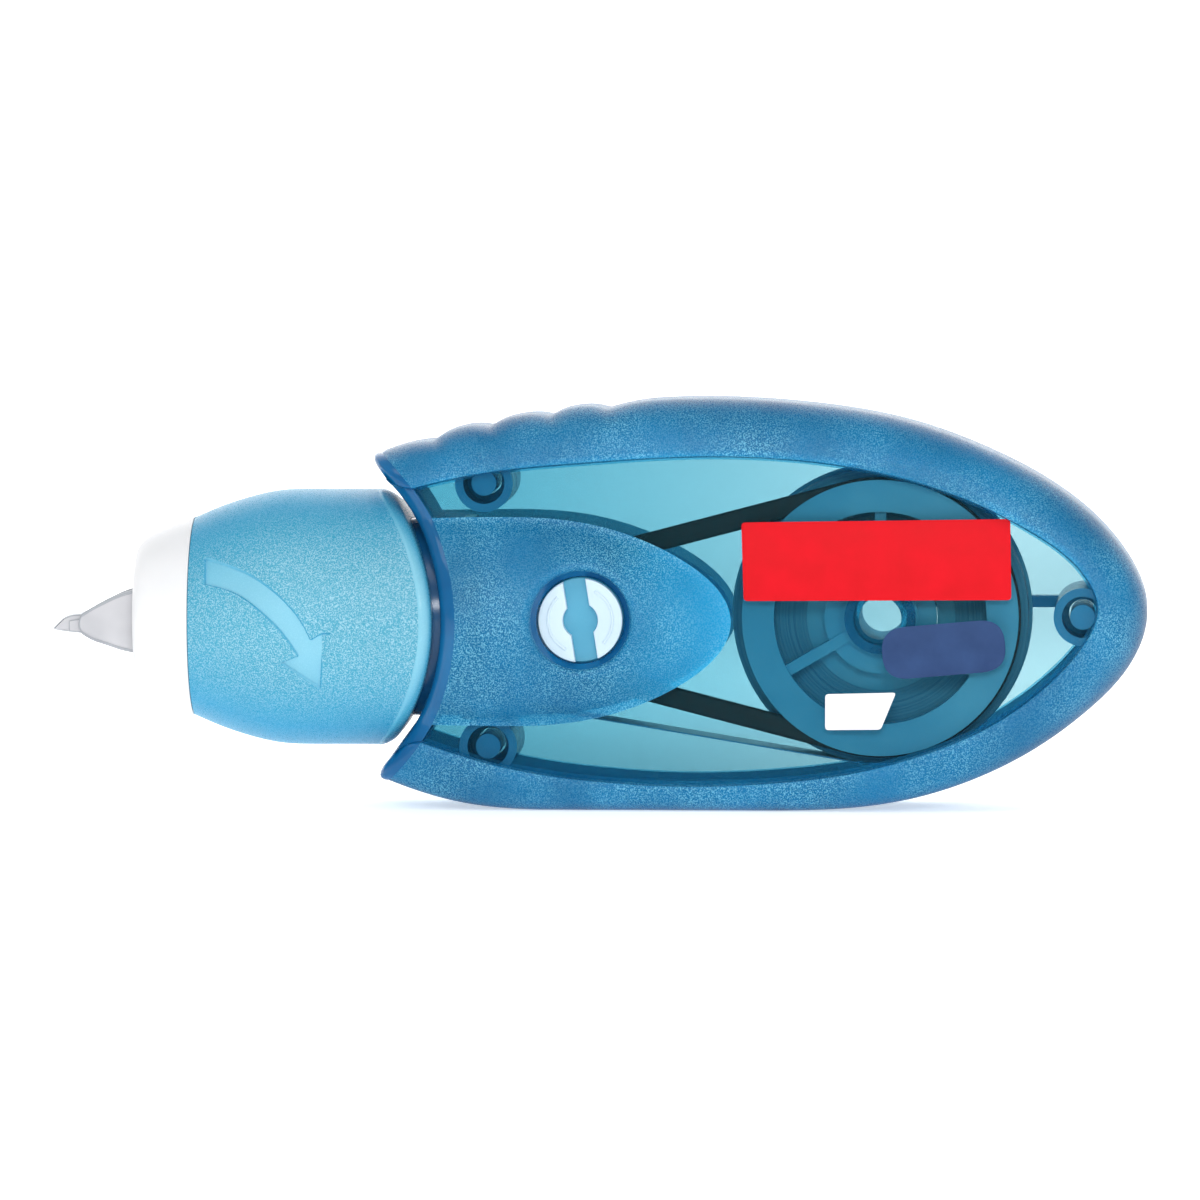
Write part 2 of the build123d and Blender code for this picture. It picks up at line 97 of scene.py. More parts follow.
# --- curve helpers ---------------------------------------------------------------------------
def spline(points, count):
    """Natural cubic spline through points, sampled at count evenly spaced places."""
    p = np.array(points, float)
    t = np.concatenate([[0], np.cumsum(np.linalg.norm(np.diff(p, axis=0), axis=1))])
    n = len(p)
    h = np.diff(t)
    a = np.eye(n)
    b = np.zeros((n, p.shape[1]))
    for i in range(1, n - 1):
        a[i, i - 1:i + 2] = h[i - 1], 2 * (h[i - 1] + h[i]), h[i]
        b[i] = 6 * ((p[i + 1] - p[i]) / h[i] - (p[i] - p[i - 1]) / h[i - 1])
    m = np.linalg.solve(a, b)

    def at(u):
        k = np.clip(np.searchsorted(t, u, side="right") - 1, 0, n - 2)
        w = (u - t[k])[:, None]
        v = (t[k + 1] - u)[:, None]
        hk = h[k][:, None]
        return (m[k] * v ** 3 + m[k + 1] * w ** 3) / (6 * hk) + (
            p[k] / hk - m[k] * hk / 6) * v + (p[k + 1] / hk - m[k + 1] * hk / 6) * w

    fine = at(np.linspace(0, t[-1], 4000))
    return resample(fine, count)


def resample(line, count):
    s = np.concatenate([[0], np.cumsum(np.linalg.norm(np.diff(line, axis=0), axis=1))])
    u = np.linspace(0, s[-1], count)
    return np.stack([np.interp(u, s, line[:, i]) for i in range(line.shape[1])], axis=1)


def normals_2d(line):
    """Inward normals of a line that runs clockwise round the case."""
    d = np.gradient(line, axis=0)
    d /= np.linalg.norm(d, axis=1)[:, None]
    return np.stack([d[:, 1], -d[:, 0]], axis=1)


def clip_to_mouth(line, radius, count):
    """The stretch of a case line that lies outside the mouth arc, with its ends on the arc."""
    gap = np.hypot(line[:, 0] - mouth_x, line[:, 1] - axis_z) - radius
    out = np.where(gap > 0)[0]
    first, last = out[0], out[-1]
    pieces = [line[first:last + 1]]
    if first > 0:
        f = gap[first - 1] / (gap[first - 1] - gap[first])
        pieces.insert(0, (line[first - 1] + f * (line[first] - line[first - 1]))[None])
    if last < len(line) - 1:
        f = gap[last] / (gap[last] - gap[last + 1])
        pieces.append((line[last] + f * (line[last + 1] - line[last]))[None])
    return resample(np.concatenate(pieces), count)


def inside(points, polygon):
    """Even-odd test of points against a closed polygon."""
    x, y = points[:, 0], points[:, 1]
    hit = np.zeros(len(points), bool)
    for (x0, y0), (x1, y1) in zip(polygon, np.roll(polygon, -1, axis=0)):
        cross = (y0 > y) != (y1 > y)
        with np.errstate(divide="ignore", invalid="ignore"):
            hit ^= cross & (x < (x1 - x0) * (y - y0) / (y1 - y0) + x0)
    return hit


def soften(points, radius, steps=5):
    """Closed polygon with its corners rounded off."""
    p = np.array(points, float)
    out = []
    for before, at, after in zip(np.roll(p, 1, 0), p, np.roll(p, -1, 0)):
        a, b = before - at, after - at
        la, lb = np.linalg.norm(a), np.linalg.norm(b)
        start = at + a / la * min(radius, 0.45 * la)
        end = at + b / lb * min(radius, 0.45 * lb)
        for t in np.linspace(0, 1, steps):
            out.append((1 - t) ** 2 * start + 2 * t * (1 - t) * at + t * t * end)
    return np.array(out)


def inset(loop, amount):
    """Closed loop moved inwards on mitred corners."""
    after = np.roll(loop, -1, 0)
    d = after - loop
    d /= np.linalg.norm(d, axis=1)[:, None]
    area = np.sum(loop[:, 0] * after[:, 1] - after[:, 0] * loop[:, 1])
    n = np.stack([-d[:, 1], d[:, 0]], axis=1) * np.sign(area)
    before = np.roll(n, 1, 0)
    spread = np.maximum(1 + (n * before).sum(axis=1), 0.4)[:, None]
    return loop + (n + before) / spread * amount


def distance_to(points, polygon):
    """Signed distance from points to a closed polygon, negative inside it."""
    best = np.full(len(points), 1e9)
    for a, b in zip(polygon, np.roll(polygon, -1, axis=0)):
        along = b - a
        t = np.clip(((points - a) @ along) / (along @ along), 0, 1)
        best = np.minimum(best, np.linalg.norm(points - a - t[:, None] * along, axis=1))
    return np.where(inside(points, polygon), -best, best)


# --- mesh builder ----------------------------------------------------------------------------
class Mesh:
    """Collects vertices in millimetres and faces with a material index."""

    def __init__(self):
        self.verts = []
        self.faces = []
        self.mats = []

    def add(self, points):
        start = len(self.verts)
        self.verts.extend(tuple(float(c) for c in p) for p in points)
        return list(range(start, len(self.verts)))

    def face(self, ids, mat=0, flip=False):
        self.faces.append(tuple(reversed(ids)) if flip else tuple(ids))
        self.mats.append(mat)

    def grid(self, rows, mat=0, flip=False, closed=False):
        """Quads between rows of vertex ids. mat may be a function of row and column."""
        for i in range(len(rows) - 1):
            a, b = rows[i], rows[i + 1]
            n = len(a)
            for j in range(n if closed else n - 1):
                k = (j + 1) % n
                kind = mat(i, j) if callable(mat) else mat
                self.face((a[j], a[k], b[k], b[j]), kind, flip)

    def fill(self, ids, plane, mat=0, flip=False):
        """Triangles inside a loop of vertex ids, flattened by plane(point)."""
        flat = [plane(self.verts[i]) for i in ids]
        edges = [(j, (j + 1) % len(ids)) for j in range(len(ids))]
        out = delaunay_2d_cdt([Vector(p) for p in flat], edges, [], 0, 1e-7, True)
        co, tris, origin = out[0], out[2], out[3]
        where = {k: ids[source[0]] for k, source in enumerate(origin) if source}
        centre = np.array([[sum(co[v][c] for v in t) / 3 for c in (0, 1)] for t in tris])
        for t, good in zip(tris, inside(centre, np.array(flat))):
            if good and all(v in where for v in t):
                self.face([where[v] for v in t], mat, flip)

    def make(self, name, materials, sharp=35.0, merge=0.0005):
        data = bpy.data.meshes.new(name)
        data.from_pydata([tuple(c * MM for c in v) for v in self.verts], [], self.faces)
        data.materials.clear()
        for m in materials:
            data.materials.append(m)
        data.polygons.foreach_set("material_index", self.mats)
        data.polygons.foreach_set("use_smooth", [True] * len(self.faces))
        data.update()
        obj = bpy.data.objects.new(name, data)
        bpy.context.scene.collection.objects.link(obj)
        bm = bmesh.new()
        bm.from_mesh(data)
        bmesh.ops.remove_doubles(bm, verts=bm.verts, dist=merge * MM)
        bmesh.ops.recalc_face_normals(bm, faces=bm.faces)
        bm.to_mesh(data)
        bm.free()
        data.set_sharp_from_angle(angle=math.radians(sharp))
        return obj


def put(obj, body, *nodes):
    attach(obj, body)
    if nodes:
        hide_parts(*nodes)
    return obj


# --- case shells -----------------------------------------------------------------------------
tongue_line = [(-20, 10.9), (-13, 10.87), (-7.5, 10.85), (-2.2, 10.55), (3.15, 9.55)]
tongue_line += [(7.15, 8.33), (9.6, 7.39), (11.3, 6.6), (13.0, 5.6)]
tongue_fine = spline(tongue_line, 600)
scallops = [-19.4, -14.1, -9.3, -4.1, 0.7, 5.6]     # finger grip notches along the top
scallop_depth = 0.5
outline_count = 420                                 # points along each ring of the case
rim_steps = 14
petal_steps = 34
# material slots of the shells
FROST, CLEAR, INNER, BOSS, MOUTH, TONGUE = range(6)


def tongue_height(x, z, shrink):
    """How far the tongue stands from the middle plane, or 0 outside it."""
    r = np.interp(x, tongue_fine[:, 0], tongue_fine[:, 1]) - shrink
    return np.sqrt(np.maximum(r ** 2 - (z - axis_z) ** 2, 0))


def soft_max(a, b, blend):
    h = np.clip(0.5 + 0.5 * (a - b) / blend, 0, 1)
    return b + (a - b) * h + blend * h * (1 - h)


def scallop_dip(x, z):
    """Inward dip of the grip notches, by place along the top. The end ones run out."""
    dip = np.zeros_like(x)
    for a, b in zip(scallops, scallops[1:]):
        on_bump = (x >= a) & (x <= b) & (z > axis_z)
        if a == scallops[-2]:
            shape = np.clip(1 - (x - a) / (b - a), 0, 1) ** 2
        elif a == scallops[0]:
            shape = np.clip((x - a) / (b - a), 0, 1) ** 3
        else:
            shape = np.abs(2 * (x - a) / (b - a) - 1) ** 2.4
        dip = np.where(on_bump, scallop_depth * shape, dip)
    return dip


outer_line = spline(crown + under, 2400)
outer_line[:, 1] = np.maximum(outer_line[:, 1], 0)
inner_line = spline(rim_edge, 2400)


def rim_rings(skin):
    """Rings from the middle plane up over the rim and down to the window, as rows of (x, z, y)."""
    start = outer_line + normals_2d(outer_line) * skin.inset
    low = np.clip(1 - (outer_line[:, 1] - 1.0) / 9.0, 0, 1)     # 1 along the flat under edge
    rise = skin.round_top * (1 - low) + skin.round_low * low
    dips = scallop_dip(outer_line[:, 0], outer_line[:, 1]) * (skin.inset == 0)
    rings = [np.column_stack([start + normals_2d(outer_line) * dips[:, None], 0 * low])]
    for i in range(rim_steps + 1):
        turn = math.pi / 2 * i / rim_steps
        part = 1 - math.cos(turn)
        fade = max(0.0, 1 - part / 0.75) ** 1.3
        base = start + normals_2d(outer_line) * (dips * fade)[:, None]
        level = skin.crest - rise + rise * math.sin(turn)
        rings.append(np.column_stack([base + (inner_line - base) * part, level]))
    inward = normals_2d(inner_line)
    for over, level in skin.step:
        rings.append(np.column_stack([inner_line + inward * over, 0 * low + level]))
    return [clip_to_mouth(ring, skin.mouth, outline_count) for ring in rings]


def polar_tongue(skin, sign):
    """Rings of points round the take-up opening, out to where the tongue meets the window."""
    rho = np.linspace(1.0, 22, 2200)

    def reach(a):
        """How far a ray gets before the tongue's foot, and before the mouth."""
        x, z = take_x + rho * math.cos(a), take_z + rho * math.sin(a)
        off = tongue_height(x, z, skin.shrink) <= skin.window
        past = np.hypot(x - mouth_x, z - axis_z) < skin.mouth
        wall_at = rho[np.argmax(past)] if past.any() else 99.0
        foot_at = rho[np.argmax(off)] + 0.5 if off.any() else 99.0
        return foot_at, wall_at

    even = np.linspace(0, 2 * math.pi, 361)[:-1]
    spans = [reach(a) for a in even]
    # rays are added at the corners, where the foot meets the mouth
    corners = []
    for i, (edge, wall_at) in enumerate(spans):
        after = spans[(i + 1) % len(spans)]
        if (edge < wall_at) == (after[0] < after[1]):
            continue
        lo, hi = even[i], even[i] + 2 * math.pi / 360
        for _ in range(20):
            mid = (lo + hi) / 2
            e, m = reach(mid)
            lo, hi = (mid, hi) if (e < m) == (edge < wall_at) else (lo, mid)
        corners.append(lo)
    angles = np.array(sorted(list(even) + corners))
    spans = np.array([reach(a) for a in angles])
    at_mouth = spans[:, 1] <= spans[:, 0]
    limit = spans.min(axis=1)
    rings = []
    for i in range(petal_steps + 1):
        out = skin.hole + (limit - skin.hole) * (i / petal_steps) ** 1.4
        x = take_x + out * np.cos(angles)
        z = take_z + out * np.sin(angles)
        y = soft_max(tongue_height(x, z, skin.shrink), np.full_like(x, skin.window), 0.5)
        if skin.dish:
            fall = np.clip((crater_r - out) / (crater_r - skin.hole), 0, 1)
            y = y - skin.dish * (1 - np.sqrt(1 - 0.96 * fall ** 2))
        if i == petal_steps:
            y = np.where(at_mouth, y, skin.window)
        rings.append(np.stack([x, sign * y, z], axis=1))
    return rings, at_mouth


class Skin:
    """The numbers that tell the outside of a shell from its inside."""

    def __init__(self, **values):
        self.__dict__.update(values)


outside = dict(inset=0.0, round_top=4.6, round_low=2.2, crest=crest_y, window=window_y,
               mouth=mouth_r + mouth_round, bulkhead=mouth_r, shrink=0.0)
outside["step"] = [(0.12, 7.5), (0.24, 7.42), (0.30, 7.2), (0.33, 6.95), (0.38, 6.8)]
inside_of = dict(inset=rim_wall, round_top=2.8, round_low=1.2, crest=inner_y, window=inner_y,
                 mouth=mouth_r + mouth_wall, bulkhead=mouth_r + mouth_wall, shrink=tongue_wall,
                 step=[(0.6, inner_y)], dish=0.0)


def add_skin(mesh, sign, skin, flip, mat, tongue_mat):
    """One face of a shell: rim, window, tongue and mouth wall. Returns its open edges."""
    rings = rim_rings(skin)
    rows = [mesh.add([(p[0], sign * p[2], p[1]) for p in ring]) for ring in rings]
    mesh.grid(rows, mat, flip)
    tongue_rings, at_mouth = polar_tongue(skin, sign)
    petals = [mesh.add(r) for r in tongue_rings]
    mesh.grid(petals, tongue_mat, not flip, closed=True)
    edge = petals[-1]
    n = len(edge)
    first = next(k for k in range(n) if not at_mouth[k] and at_mouth[k - 1])
    length = next(j for j in range(n) if at_mouth[(first + j) % n])
    foot = [edge[(first + j) % n] for j in range(-1, length + 1)]
    # the foot runs from one mouth corner round the tongue's tip to the other
    arc = [edge[(first + length + j) % n] for j in range(n - length)]
    if mesh.verts[foot[0]][2] > mesh.verts[foot[-1]][2]:
        foot.reverse()
        arc.reverse()
    window_edge = rows[-1]

    def on_arc(a, b, count):
        zs = np.linspace(mesh.verts[a][2], mesh.verts[b][2], count + 2)[1:-1]
        xs = mouth_x + np.sqrt(skin.mouth ** 2 - (zs - axis_z) ** 2)
        return mesh.add([(x, sign * skin.window, z) for x, z in zip(xs, zs)])

    high = on_arc(foot[-1], window_edge[0], 10)
    low = on_arc(window_edge[-1], foot[0], 10)
    mesh.fill(foot + high + window_edge + low, lambda v: (v[0], v[2]), mat=CLEAR, flip=flip)
    mouth_edge = [row[0] for row in rows] + high[::-1] + arc + low[::-1]
    mouth_edge += [row[-1] for row in rows][::-1]
    rolled = [mouth_edge]
    if skin.mouth > skin.bulkhead:
        rolled += roll_in(mesh, mouth_edge, skin.bulkhead, skin.mouth - skin.bulkhead)
        mesh.grid(rolled, MOUTH, flip)
        mouth_edge = rolled[-1]
    turn = np.linspace(-math.pi / 2, math.pi / 2, 49)
    zs = axis_z + drum_r * np.sin(turn)
    xs = mouth_x + np.sqrt(skin.bulkhead ** 2 - (zs - axis_z) ** 2)
    neck_edge = mesh.add(np.stack([xs, sign * drum_r * np.cos(turn), zs], axis=1))
    mesh.fill(mouth_edge + neck_edge, lambda v: (v[2], v[1]), mat=mat, flip=flip)
    ends = dict(top=[row[0] for row in rolled], low=[row[-1] for row in rolled])
    return dict(rim=rows[0], neck=neck_edge, hole=petals[0], **ends)


def roll_in(mesh, edge, bulkhead, size):
    """Rows that round the edge of the mouth over into the bulkhead."""
    p = np.array([(mesh.verts[i][2], mesh.verts[i][1]) for i in edge])
    d = np.gradient(p, axis=0)
    d /= np.maximum(np.linalg.norm(d, axis=1), 1e-9)[:, None]
    for _ in range(6):
        d[1:-1] = (d[:-2] + 2 * d[1:-1] + d[2:]) / 4
    n = np.stack([-d[:, 1], d[:, 0]], axis=1)
    middle = len(p) // 2
    if n[middle] @ (np.array([axis_z, 0]) - p[middle]) < 0:
        n = -n
    n[[0, -1], 1] = 0
    # the two lips, at the ends of the edge, are rounded off further
    lip = np.clip((np.abs(p[:, 0] - axis_z) - 8.5) / 3.0, 0, 1)
    n *= (1 + 0.5 * lip)[:, None]
    rows = []
    for t in np.linspace(0, math.pi / 2, 8)[1:]:
        moved = p + n * size * (1 - math.cos(t))
        radius = bulkhead + size * (1 - math.sin(t))
        xs = mouth_x + np.sqrt(radius ** 2 - (moved[:, 0] - axis_z) ** 2)
        rows.append(mesh.add(np.stack([xs, moved[:, 1], moved[:, 0]], axis=1)))
    return rows


def shell_half(mesh, sign):
    """A closed shell on one side of the middle plane: sign -1 is the near one."""
    flip = sign > 0
    if sign < 0:
        hole, throat, dish = opening_r, throat_r, crater_depth
    else:
        hole, throat, dish = pole_r, pole_r, 0.0
    outer = add_skin(mesh, sign, Skin(**outside, hole=hole, dish=dish), flip, FROST, TONGUE)
    inner = add_skin(mesh, sign, Skin(**inside_of, hole=throat), not flip, INNER, INNER)
    # parting face along the rim, the neck opening and the two lips
    mesh.grid([outer["rim"], inner["rim"]], INNER, not flip)
    mesh.grid([outer["neck"], inner["neck"]], INNER, not flip)
    for end, k in (("top", -1), ("low", 0)):
        mesh.face([outer["neck"][k], inner["neck"][k], inner[end][0]] + outer[end], INNER, flip)
    if sign < 0:
        mesh.grid([outer["hole"], inner["hole"]], MOUTH, flip, closed=True)
    else:
        mesh.face(outer["hole"], FROST, flip)
        mesh.face(inner["hole"], INNER, flip)


def add_tube(mesh, x, z, profile, mat, count=48):
    """Turned solid about a Y axis from (radius, y) points. A closed profile makes a ring."""
    turn = np.linspace(0, 2 * math.pi, count + 1)[:-1]
    rows = []
    for r, y in profile:
        ring = [x + r * np.cos(turn), y + 0 * turn, z + r * np.sin(turn)]
        rows.append(mesh.add(np.stack(ring, axis=1)))
    mesh.grid(rows, mat, False, closed=True)
    if profile[0] != profile[-1]:
        mesh.face(rows[0][::-1], mat)
        mesh.face(rows[-1], mat)


def add_turned(mesh, profile, mat=0, count=96):
    """Closed ring turned about the cap axis from (x, radius) points."""
    turn = np.linspace(0, 2 * math.pi, count + 1)[:-1]
    rows = []
    for x, r in profile:
        ring = [x + 0 * turn, r * np.cos(turn), axis_z + r * np.sin(turn)]
        rows.append(mesh.add(np.stack(ring, axis=1)))
    mesh.grid(rows + rows[:1], mat, closed=True)


def add_plate(mesh, loop, y0, y1, edge, mat=0, steps=4, side=None):
    """Side-view outline given thickness along Y, with rounded edges."""
    turn = np.linspace(0, math.pi / 2, steps)
    low = [(edge * (1 - math.sin(t)), y0 + edge * (1 - math.cos(t))) for t in turn]
    high = [(amount, y0 + y1 - y) for amount, y in reversed(low)]
    rows = []
    for amount, y in low + high:
        rows.append(mesh.add([(x, y, z) for x, z in inset(loop, amount)]))
    mesh.grid(rows, mat if side is None else side, closed=True)
    mesh.fill(rows[0], lambda v: (v[0], v[2]), mat=mat)
    mesh.fill(rows[-1], lambda v: (v[0], v[2]), mat=mat, flip=True)


def add_strip(mesh, path, thick, half, mat=0, side=0, closed=False, edge=0.02, middle=0.0):
    """Band of tape or belt that follows a side-view path."""
    d = np.gradient(path, axis=0)
    if closed:
        d = np.roll(path, -1, 0) - np.roll(path, 1, 0)
    d /= np.linalg.norm(d, axis=1)[:, None]
    n = np.stack([-d[:, 1], d[:, 0]], axis=1)
    t = thick / 2
    section = soften([(-t, -half), (t, -half), (t, half), (-t, half)], edge, 4)
    rows = []
    for out, y in section:
        ring = [(p[0] + q[0] * out, y + middle, p[1] + q[1] * out) for p, q in zip(path, n)]
        rows.append(mesh.add(ring))
    flank = np.abs(section[:, 1] + np.roll(section, -1, axis=0)[:, 1]) > 1.9 * half
    mesh.grid(rows + rows[:1], lambda i, j: side if flank[i] else mat, closed=closed)
    if not closed:
        mesh.face([row[0] for row in rows], mat)
        mesh.face([row[-1] for row in rows][::-1], mat)


# --- materials -------------------------------------------------------------------------------
def linear(r, g, b):
    """sRGB 0-255 to linear."""
    curve = [((c / 255 + 0.055) / 1.055) ** 2.4 if c > 10 else c / 3294.6 for c in (r, g, b)]
    return tuple(curve) + (1,)


def grey(v):
    return (v, v, v, 1)


class Tree:
    """Short hand for building a node material. Noise scales are per metre."""

    def __init__(self, name):
        self.mat = bpy.data.materials.new(name)
        self.mat.use_nodes = True
        self.nodes = self.mat.node_tree.nodes
        self.links = self.mat.node_tree.links
        self.nodes.clear()
        self.out = self.nodes.new("ShaderNodeOutputMaterial")

    def node(self, kind, **inputs):
        n = self.nodes.new("ShaderNode" + kind)
        for key, value in inputs.items():
            if key[0].islower():
                setattr(n, key, value)
                continue
            self.feed(n.inputs[key.replace("_", " ")], value)
        return n

    def feed(self, socket, value):
        if isinstance(value, bpy.types.NodeSocket):
            self.links.new(value, socket)
        else:
            socket.default_value = value

    def shader(self, **inputs):
        return self.node("BsdfPrincipled", **inputs)

    def place(self):
        return self.node("TexCoord").outputs["Object"]

    def noise(self, scale, detail=3.0, rough=0.5):
        return self.node("TexNoise", Vector=self.place(), Scale=scale, Detail=detail,
                         Roughness=rough).outputs[0]

    def ramp(self, value, *stops):
        n = self.node("ValToRGB")
        self.links.new(value, n.inputs[0])
        ramp = n.color_ramp
        while len(ramp.elements) < len(stops):
            ramp.elements.new(0.5)
        for e, (at, colour) in zip(ramp.elements, stops):
            e.position = at
            e.color = colour
        return n.outputs[0]

    def bump(self, height, strength, distance):
        return self.node("Bump", Height=height, Strength=strength, Distance=distance).outputs[0]

    def tint(self, share, a, b, how="MIX"):
        n = self.node("MixRGB", blend_type=how)
        for socket, value in zip(n.inputs, (share, a, b)):
            self.feed(socket, value)
        return n.outputs[0]

    def mix(self, share, a, b):
        n = self.nodes.new("ShaderNodeMixShader")
        for socket, value in zip(n.inputs, (share, a, b)):
            self.feed(socket, value)
        return n.outputs[0]

    def glow(self, body, weight, radius, scale):
        body.inputs["Subsurface Weight"].default_value = weight
        body.inputs["Subsurface Radius"].default_value = radius
        body.inputs["Subsurface Scale"].default_value = scale
        return body.outputs[0]

    def along_x(self, start, end):
        """0 to 1 from one X to another, in millimetres."""
        x = self.node("SeparateXYZ", Vector=self.place()).outputs[0]
        return self.node("MapRange", Value=x, From_Min=start * MM, From_Max=end * MM).outputs[0]

    def facing(self):
        """0 where the surface is seen square on, 1 where it is seen edge-on."""
        return self.node("LayerWeight", Blend=0.5).outputs["Facing"]

    def done(self, shader):
        self.links.new(shader, self.out.inputs[0])
        return self.mat


def frosted_blue(name, solid, deep, mid, painted_glint, see, pale=None, rim=(0.3, 0.52, 0.62, 1)):
    """Spark-eroded translucent blue plastic, with painted glints: the grain is tinted pale in
    patches.
    """
    t = Tree(name)
    grain = t.noise(9000.0, 1.0, 0.6)
    cloud = t.noise(110.0, 3.0)
    patch = t.ramp(t.noise(150.0, 1.0), (0.35, grey(0.25)), (0.65, grey(1.0)))
    base = t.ramp(cloud, (0.35, linear(*deep)), (0.65, linear(*mid)))
    # painted light: paler towards the tongue's thin tip, where light shines through
    if pale:
        base = t.tint(t.along_x(1.0, 12.0), base, linear(*pale))
    # painted highlight: grain specks are tinted towards the pale glint colour, standing in for glints
    # of light
    glint_mask = t.ramp(grain, (0.5, grey(0)), (0.62, grey(0.8)))
    colour = t.tint(t.tint(1.0, glint_mask, patch, "MULTIPLY"), base, linear(*painted_glint))
    # seen edge-on there is more plastic to look through, so it is deeper and less clear; the
    # darkening there towards the rim colour is partly painted shade on the edges that turn away
    facing = t.facing()
    depth_and_edge_shade = t.ramp(facing, (0.25, grey(1.0)), (0.8, rim))
    colour = t.tint(1.0, colour, depth_and_edge_shade, "MULTIPLY")
    share = t.ramp(facing, (0.3, grey(solid)), (0.8, grey(0.5 + 0.5 * solid)))
    rough = t.ramp(grain, (0.35, grey(0.24)), (0.65, grey(0.42)))
    body = t.shader(Base_Color=colour, Roughness=rough, IOR=1.5, Specular_IOR_Level=0.35,
                    Normal=t.bump(grain, 0.8, 0.00006))
    lit = t.glow(body, 0.2, (0.4, 0.8, 1.0), 0.002)
    clear = t.node("BsdfTransparent", Color=linear(*see)).outputs[0]
    return t.done(t.mix(share, clear, lit))


def clear_blue(name, left, right, haze):
    """Polished window: a clean tinted sheet with a gloss, a little deeper towards the mouth and paler
    towards the far end, a painted reflection of the light.
    """
    t = Tree(name)
    wave = t.noise(60.0, 2.0)
    facing = t.facing()
    share = t.node("MapRange", Value=facing, From_Min=0.08, From_Max=1.0, To_Min=haze,
                   To_Max=0.6).outputs[0]
    # painted reflection: the tint pales from the mouth end to the far end
    tone = t.ramp(t.along_x(-16, 34), (0.0, linear(*left)), (1.0, linear(*right)))
    clear = t.node("BsdfTransparent", Color=tone).outputs[0]
    rough = t.ramp(wave, (0.3, grey(0.04)), (0.7, grey(0.08)))
    body = t.shader(Base_Color=linear(96, 190, 214), Roughness=rough, IOR=1.5)
    return t.done(t.mix(share, clear, body.outputs[0]))


def textured_blue(name, deep, mid, painted_glint, height):
    """Opaque light-blue moulding with a fine leather grain, with painted shade where it turns away
    and painted glints on the grain.
    A height of 0 gives the smooth areas."""
    t = Tree(name)
    grain = t.noise(9500.0, 1.0, 0.6)
    cloud = t.noise(70.0, 3.0)
    facing = t.facing()
    # painted shade: the colour deepens from mid to deep where the surface turns away, like a shaded
    # cylinder
    base = t.ramp(facing, (0.04, linear(*mid)), (0.5, linear(*deep)))
    base = t.tint(1.0, base, t.ramp(cloud, (0.3, grey(0.88)), (0.7, grey(1.0))), "MULTIPLY")
    # painted highlight: grain specks tinted towards the glint colour, strongest where the surface
    # faces the viewer
    glint_mask = t.ramp(grain, (0.48, grey(0)), (0.62, grey(0.5 * height)))
    colour = t.tint(glint_mask, base, t.ramp(facing, (0.1, linear(*painted_glint)), (0.5, linear(96, 186, 222))))
    rough = t.ramp(grain, (0.35, grey(0.26)), (0.65, grey(0.28 + 0.12 * height)))
    body = t.shader(Base_Color=colour, Roughness=rough, Specular_IOR_Level=0.3,
                    Normal=t.bump(grain, 0.08 + 0.7 * height, 0.00005))
    return t.done(t.glow(body, 0.15, (0.4, 0.8, 1.0), 0.001))


def plain_plastic(name, light, dark):
    """Opaque moulding with a faint uneven tone."""
    t = Tree(name)
    grain = t.noise(2500.0, 2.0, 0.6)
    cloud = t.noise(120.0, 3.0)
    colour = t.ramp(cloud, (0.3, linear(*dark)), (0.7, linear(*light)))
    r = t.ramp(grain, (0.35, grey(0.35)), (0.65, grey(0.5)))
    body = t.shader(Base_Color=colour, Roughness=r, Normal=t.bump(grain, 0.3, 0.00005))
    return t.done(t.glow(body, 0.08, (0.8, 0.9, 1.0), 0.001))


def tinted_plastic(name, light, dark, see, solid, rough=0.18):
    """Unpolished translucent moulding seen through the windows."""
    t = Tree(name)
    cloud = t.noise(150.0, 3.0)
    colour = t.ramp(cloud, (0.3, linear(*dark)), (0.7, linear(*light)))
    body = t.shader(Base_Color=colour, Roughness=rough, Normal=t.bump(cloud, 0.1, 0.00005))
    clear = t.node("BsdfTransparent", Color=linear(*see)).outputs[0]
    share = t.ramp(cloud, (0.3, grey(solid * 0.95)), (0.7, grey(min(1.0, solid * 1.05))))
    return t.done(t.mix(share, clear, body.outputs[0]))


def wound_tape(name, light, dark, x, z, pitch=0.22):
    """Side of a tape roll: fine rings about its axis, about a pitch apart."""
    t = Tree(name)
    place = t.node("Mapping", Vector=t.place())
    place.inputs["Location"].default_value = (-x * MM, 0, -z * MM)
    flat = t.node("VectorMath", operation="MULTIPLY")
    t.feed(flat.inputs[0], place.outputs[0])
    flat.inputs[1].default_value = (1, 0, 1)
    away = t.node("VectorMath", operation="LENGTH")
    t.feed(away.inputs[0], flat.outputs[0])
    scaled = t.node("Math", operation="MULTIPLY")
    t.feed(scaled.inputs[0], away.outputs["Value"])
    scaled.inputs[1].default_value = 1 / (pitch * MM)
    rings = t.node("TexNoise", noise_dimensions="1D", W=scaled.outputs[0], Scale=1.0,
                   Detail=2.0).outputs[0]
    colour = t.ramp(rings, (0.3, linear(*dark)), (0.7, linear(*light)))
    body = t.shader(Base_Color=colour, Roughness=0.55, Normal=t.bump(rings, 0.3, 0.00004))
    return t.done(body.outputs[0])


def matt(name, light, dark, scale, rough, bump, shine=0.5):
    """Opaque surface with a fine uneven tone: rubber, ink and tape."""
    t = Tree(name)
    grain = t.noise(scale, 3.0)
    colour = t.ramp(grain, (0.3, linear(*dark)), (0.7, linear(*light)))
    r = t.ramp(grain, (0.3, grey(rough[0])), (0.7, grey(rough[1])))
    body = t.shader(Base_Color=colour, Roughness=r, Normal=t.bump(grain, bump, 0.00004),
                    Specular_IOR_Level=shine)
    return t.done(body.outputs[0])


